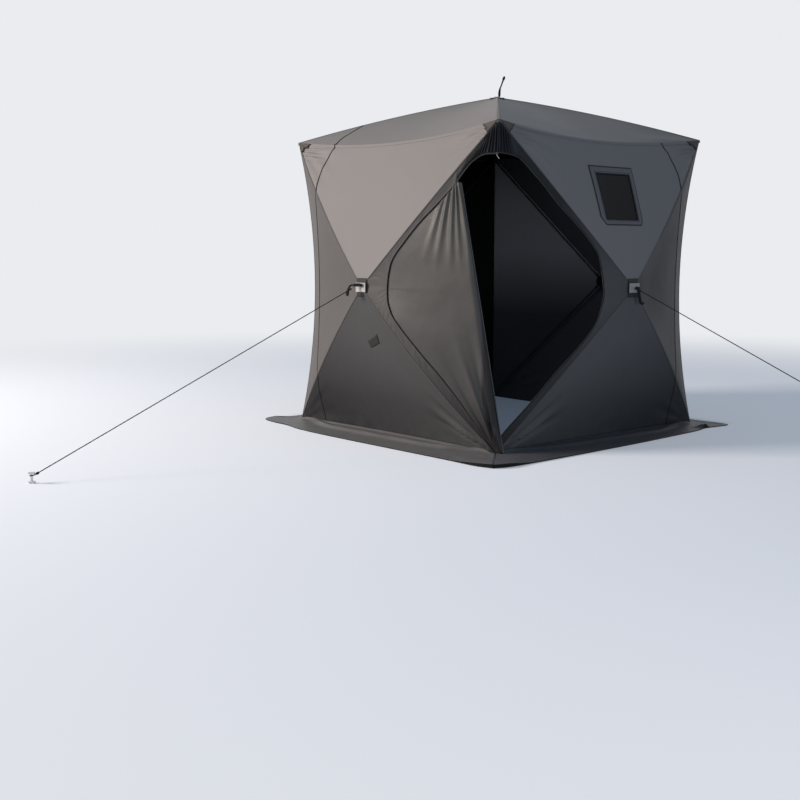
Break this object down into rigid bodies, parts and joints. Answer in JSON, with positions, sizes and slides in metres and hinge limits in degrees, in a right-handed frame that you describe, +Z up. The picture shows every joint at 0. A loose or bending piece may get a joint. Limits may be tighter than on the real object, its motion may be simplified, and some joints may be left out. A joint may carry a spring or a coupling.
{
  "type": "pop-up hub-style ice fishing shelter",
  "caption": "Square pop-up ice fishing tent of two-tone cloth held out by sprung hub poles, with a zipped diamond door round one corner, a snow skirt and two guy ropes to ice anchors.",
  "frame": {"origin": "on the ground, in the middle of the box round the shelter and its two ice anchors, 0.359 m in front of the middle of the floor", "axes": "+Z up, the door's corner pointing along -Y, so that the four walls stand at 45 degrees to X and Y"},
  "size_m": [4.4888, 3.7718, 2.203],
  "materials": {
    "light_cloth": "coated polyester, light grey",
    "dark_cloth": "coated polyester, charcoal",
    "skirt_cloth": "coated polyester, charcoal",
    "webbing": "woven black webbing and cord",
    "zip": "coil zip on woven tape",
    "clear_film": "tinted clear film",
    "binding": "grey stitched binding",
    "hub_plastic": "black moulded hub with a grey plate",
    "fibreglass": "dark fibreglass rod",
    "rubber": "black moulded cup",
    "anchor_steel": "zinc-plated steel"
  },
  "bodies": {
    "root": {"front_left_roof_panel": "light_cloth", "front_right_roof_panel": "light_cloth", "back_right_roof_panel": "light_cloth", "back_left_roof_panel": "light_cloth", "front_left_wall_upper": "light_cloth", "front_right_wall_upper": "light_cloth", "back_right_wall_upper": "light_cloth", "back_left_wall_upper": "light_cloth", "front_left_wall_lower": "dark_cloth", "front_right_wall_lower": "dark_cloth", "back_right_wall_lower": "dark_cloth", "back_left_wall_lower": "dark_cloth", "front_left_wall_left_side": "dark_cloth", "left_door_surround": "dark_cloth", "right_door_surround": "dark_cloth", "front_right_wall_right_side": "dark_cloth", "back_right_wall_right_side": "dark_cloth", "back_right_wall_back_side": "dark_cloth", "back_left_wall_back_side": "dark_cloth", "back_left_wall_left_side": "dark_cloth", "door_flap": "dark_cloth", "door_flap_turned_in": "dark_cloth", "door_zip": "zip", "window_panes": "clear_film", "window_bindings": "binding", "front_left_snow_skirt": "skirt_cloth", "front_right_snow_skirt": "skirt_cloth", "back_right_snow_skirt": "skirt_cloth", "back_left_snow_skirt": "skirt_cloth", "front_left_hub": "hub_plastic", "front_right_hub": "hub_plastic", "back_right_hub": "hub_plastic", "back_left_hub": "hub_plastic", "roof_hub": "hub_plastic", "front_left_wall_poles": "fibreglass", "front_right_wall_poles": "fibreglass", "back_right_wall_poles": "fibreglass", "back_left_wall_poles": "fibreglass", "roof_poles": "fibreglass", "corner_cups": "rubber", "pull_straps": "webbing", "front_left_guy_rope": "webbing", "front_right_guy_rope": "webbing", "ice_anchors": "anchor_steel"}
  },
  "joints": []
}
